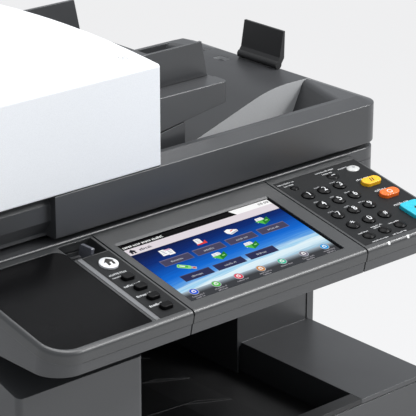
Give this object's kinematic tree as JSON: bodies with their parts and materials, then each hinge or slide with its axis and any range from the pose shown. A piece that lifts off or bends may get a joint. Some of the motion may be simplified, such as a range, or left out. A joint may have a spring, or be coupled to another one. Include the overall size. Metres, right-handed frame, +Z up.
{
  "type": "photocopier",
  "caption": "Office photocopier with a side column, delivery space, scanner, document feeder that lifts as a lid, tilting operation panel with touch screen and keys, cassette and doors.",
  "frame": {"origin": "on the ground, below the middle of the machine", "axes": "+X right as the user sees it, +Y towards the back, +Z up"},
  "size_m": [0.572, 0.5023, 0.755],
  "materials": {
    "dark_plastic": "fine moulded texture",
    "panel_plastic": "fine moulded texture, slightly satin",
    "grey_plastic": "fine moulded texture",
    "black_plastic": "matte",
    "gloss_black": "polished",
    "white_plastic": "fine moulded texture",
    "white_pad": "smooth foam-backed sheet",
    "frame_steel": "plated",
    "rubber": "matte",
    "platen_glass": "clear",
    "display": "glossy touch panel",
    "lever_plastic": "satin",
    "key_black": "satin gloss",
    "key_white": "satin gloss",
    "key_silver": "satin gloss",
    "key_yellow": "satin gloss",
    "key_orange": "satin gloss",
    "key_cyan": "satin gloss"
  },
  "bodies": {
    "engine": {"base_frame": "frame_steel", "left_cover": "dark_plastic", "right_cover": "dark_plastic", "rear_cover": "dark_plastic", "inner_tray": "black_plastic", "rubber_feet": "rubber", "toner_containers": "black_plastic", "image_units": "black_plastic", "fuser_unit": "frame_steel", "scanner_base": "dark_plastic", "scanner_top": "dark_plastic", "platen_glass": "platen_glass"},
    "scan_carriage": {"scan_carriage": "black_plastic"},
    "cassette": {"cassette": "dark_plastic"},
    "lift_plate": {"lift_plate": "frame_steel"},
    "front_cover": {"front_cover": "dark_plastic"},
    "right_door": {"right_door": "dark_plastic"},
    "mp_tray": {"mp_tray": "dark_plastic"},
    "feeder": {"feeder_base": "dark_plastic", "delivery_ramp": "grey_plastic", "platen_pad": "white_pad"},
    "feed_cover": {"feed_cover": "white_plastic"},
    "document_table": {"document_table": "dark_plastic"},
    "front_guide": {"front_guide": "dark_plastic"},
    "rear_guide": {"rear_guide": "dark_plastic"},
    "feed_roller": {"feed_roller": "rubber"},
    "original_stopper": {"original_stopper": "black_plastic"},
    "panel": {"panel_housing": "dark_plastic", "panel_left_cover": "panel_plastic", "panel_insert": "gloss_black", "screen_bezel": "panel_plastic", "touch_screen": "display", "keypad_cover": "panel_plastic"},
    "tilt_lever": {"tilt_lever": "lever_plastic"},
    "key_0": {"key_0": "key_black"},
    "key_1": {"key_1": "key_black"},
    "key_2": {"key_2": "key_black"},
    "key_3": {"key_3": "key_black"},
    "key_4": {"key_4": "key_black"},
    "key_5": {"key_5": "key_black"},
    "key_6": {"key_6": "key_black"},
    "key_7": {"key_7": "key_black"},
    "key_8": {"key_8": "key_black"},
    "key_9": {"key_9": "key_black"},
    "key_clear": {"key_clear": "key_black"},
    "key_copy": {"key_copy": "key_black"},
    "key_energy_saver": {"key_energy_saver": "key_silver"},
    "key_enter": {"key_enter": "key_black"},
    "key_fax": {"key_fax": "key_black"},
    "key_hash": {"key_hash": "key_black"},
    "key_home": {"key_home": "key_white"},
    "key_interrupt": {"key_interrupt": "key_black"},
    "key_logout": {"key_logout": "key_black"},
    "key_quick_dial": {"key_quick_dial": "key_black"},
    "key_reset": {"key_reset": "key_yellow"},
    "key_send": {"key_send": "key_black"},
    "key_star": {"key_star": "key_black"},
    "key_start": {"key_start": "key_cyan"},
    "key_status": {"key_status": "key_black"},
    "key_stop": {"key_stop": "key_orange"}
  },
  "joints": [
    {"name": "scan_carriage_slide", "type": "slide", "parent": "engine", "child": "scan_carriage", "axis": [1, 0, 0], "range_m": [0, 0.44]},
    {"name": "cassette_slide", "type": "slide", "parent": "engine", "child": "cassette", "axis": [0, -1, 0], "range_m": [0, 0.29]},
    {"name": "lift_plate_raise", "type": "hinge", "parent": "cassette", "child": "lift_plate", "pos_m": [-0.124, 0, 0.032], "axis": [0, -1, 0], "range_deg": [0, 10]},
    {"name": "front_cover_open", "type": "hinge", "parent": "engine", "child": "front_cover", "pos_m": [0, -0.1825, 0.1275], "axis": [1, 0, 0], "range_deg": [0, 80]},
    {"name": "right_door_open", "type": "hinge", "parent": "engine", "child": "right_door", "pos_m": [0.2685, 0.1, 0.127], "axis": [0, 1, 0], "range_deg": [0, 70]},
    {"name": "mp_tray_open", "type": "hinge", "parent": "right_door", "child": "mp_tray", "pos_m": [0.271, 0.104, 0.157], "axis": [0, 1, 0], "range_deg": [0, 75]},
    {"name": "feeder_lift", "type": "hinge", "parent": "engine", "child": "feeder", "pos_m": [0, 0.243, 0.603], "axis": [-1, 0, 0], "range_deg": [0, 70]},
    {"name": "feed_cover_open", "type": "hinge", "parent": "feeder", "child": "feed_cover", "pos_m": [-0.262, 0.069, 0.65], "axis": [0, -1, 0], "range_deg": [0, 70]},
    {"name": "document_table_lift", "type": "hinge", "parent": "feeder", "child": "document_table", "pos_m": [-0.042, 0.0797, 0.676], "axis": [0, -1, 0], "range_deg": [0, 15]},
    {"name": "front_guide_slide", "type": "slide", "parent": "document_table", "child": "front_guide", "axis": [0, 1, 0], "range_m": [-0.004, 0.052]},
    {"name": "rear_guide_slide", "type": "slide", "parent": "document_table", "child": "rear_guide", "axis": [0, 1, 0], "range_m": [-0.052, 0.004]},
    {"name": "feed_roller_spin", "type": "hinge", "parent": "feeder", "child": "feed_roller", "pos_m": [-0.08, 0.0797, 0.662], "axis": [0, 1, 0], "continuous": true},
    {"name": "stopper_fold", "type": "hinge", "parent": "feeder", "child": "original_stopper", "pos_m": [0.266, 0.0797, 0.6532], "axis": [0, -1, 0], "range_deg": [0, 45]},
    {"name": "panel_tilt", "type": "hinge", "parent": "engine", "child": "panel", "pos_m": [-0.0055, -0.10719, 0.57526], "axis": [1, 0, 0], "range_deg": [0, 20]},
    {"name": "lever_release", "type": "hinge", "parent": "panel", "child": "tilt_lever", "pos_m": [-0.1365, -0.11358, 0.57664], "axis": [1, 0, 0], "range_deg": [-6, 6]},
    {"name": "key_0_press", "type": "slide", "parent": "panel", "child": "key_0", "axis": [0, 0.1942, -0.981], "range_m": [0, 0.001]},
    {"name": "key_1_press", "type": "slide", "parent": "panel", "child": "key_1", "axis": [0, 0.1942, -0.981], "range_m": [0, 0.001]},
    {"name": "key_2_press", "type": "slide", "parent": "panel", "child": "key_2", "axis": [0, 0.1942, -0.981], "range_m": [0, 0.001]},
    {"name": "key_3_press", "type": "slide", "parent": "panel", "child": "key_3", "axis": [0, 0.1942, -0.981], "range_m": [0, 0.001]},
    {"name": "key_4_press", "type": "slide", "parent": "panel", "child": "key_4", "axis": [0, 0.1942, -0.981], "range_m": [0, 0.001]},
    {"name": "key_5_press", "type": "slide", "parent": "panel", "child": "key_5", "axis": [0, 0.1942, -0.981], "range_m": [0, 0.001]},
    {"name": "key_6_press", "type": "slide", "parent": "panel", "child": "key_6", "axis": [0, 0.1942, -0.981], "range_m": [0, 0.001]},
    {"name": "key_7_press", "type": "slide", "parent": "panel", "child": "key_7", "axis": [0, 0.1942, -0.981], "range_m": [0, 0.001]},
    {"name": "key_8_press", "type": "slide", "parent": "panel", "child": "key_8", "axis": [0, 0.1942, -0.981], "range_m": [0, 0.001]},
    {"name": "key_9_press", "type": "slide", "parent": "panel", "child": "key_9", "axis": [0, 0.1942, -0.981], "range_m": [0, 0.001]},
    {"name": "key_clear_press", "type": "slide", "parent": "panel", "child": "key_clear", "axis": [0, 0.1942, -0.981], "range_m": [0, 0.001]},
    {"name": "key_copy_press", "type": "slide", "parent": "panel", "child": "key_copy", "axis": [0, 0.1942, -0.981], "range_m": [0, 0.001]},
    {"name": "key_energy_saver_press", "type": "slide", "parent": "panel", "child": "key_energy_saver", "axis": [0, 0.1942, -0.981], "range_m": [0, 0.001]},
    {"name": "key_enter_press", "type": "slide", "parent": "panel", "child": "key_enter", "axis": [0, 0.1942, -0.981], "range_m": [0, 0.001]},
    {"name": "key_fax_press", "type": "slide", "parent": "panel", "child": "key_fax", "axis": [0, 0.1942, -0.981], "range_m": [0, 0.001]},
    {"name": "key_hash_press", "type": "slide", "parent": "panel", "child": "key_hash", "axis": [0, 0.1942, -0.981], "range_m": [0, 0.001]},
    {"name": "key_home_press", "type": "slide", "parent": "panel", "child": "key_home", "axis": [0, 0.1942, -0.981], "range_m": [0, 0.001]},
    {"name": "key_interrupt_press", "type": "slide", "parent": "panel", "child": "key_interrupt", "axis": [0, 0.1942, -0.981], "range_m": [0, 0.001]},
    {"name": "key_logout_press", "type": "slide", "parent": "panel", "child": "key_logout", "axis": [0, 0.1942, -0.981], "range_m": [0, 0.001]},
    {"name": "key_quick_dial_press", "type": "slide", "parent": "panel", "child": "key_quick_dial", "axis": [0, 0.1942, -0.981], "range_m": [0, 0.001]},
    {"name": "key_reset_press", "type": "slide", "parent": "panel", "child": "key_reset", "axis": [0, 0.1942, -0.981], "range_m": [0, 0.001]},
    {"name": "key_send_press", "type": "slide", "parent": "panel", "child": "key_send", "axis": [0, 0.1942, -0.981], "range_m": [0, 0.001]},
    {"name": "key_star_press", "type": "slide", "parent": "panel", "child": "key_star", "axis": [0, 0.1942, -0.981], "range_m": [0, 0.001]},
    {"name": "key_start_press", "type": "slide", "parent": "panel", "child": "key_start", "axis": [0, 0.1942, -0.981], "range_m": [0, 0.001]},
    {"name": "key_status_press", "type": "slide", "parent": "panel", "child": "key_status", "axis": [0, 0.1942, -0.981], "range_m": [0, 0.001]},
    {"name": "key_stop_press", "type": "slide", "parent": "panel", "child": "key_stop", "axis": [0, 0.1942, -0.981], "range_m": [0, 0.001]}
  ],
  "couplings": [
    {"joint": "rear_guide_slide", "follows": "front_guide_slide", "ratio": -1}
  ]
}
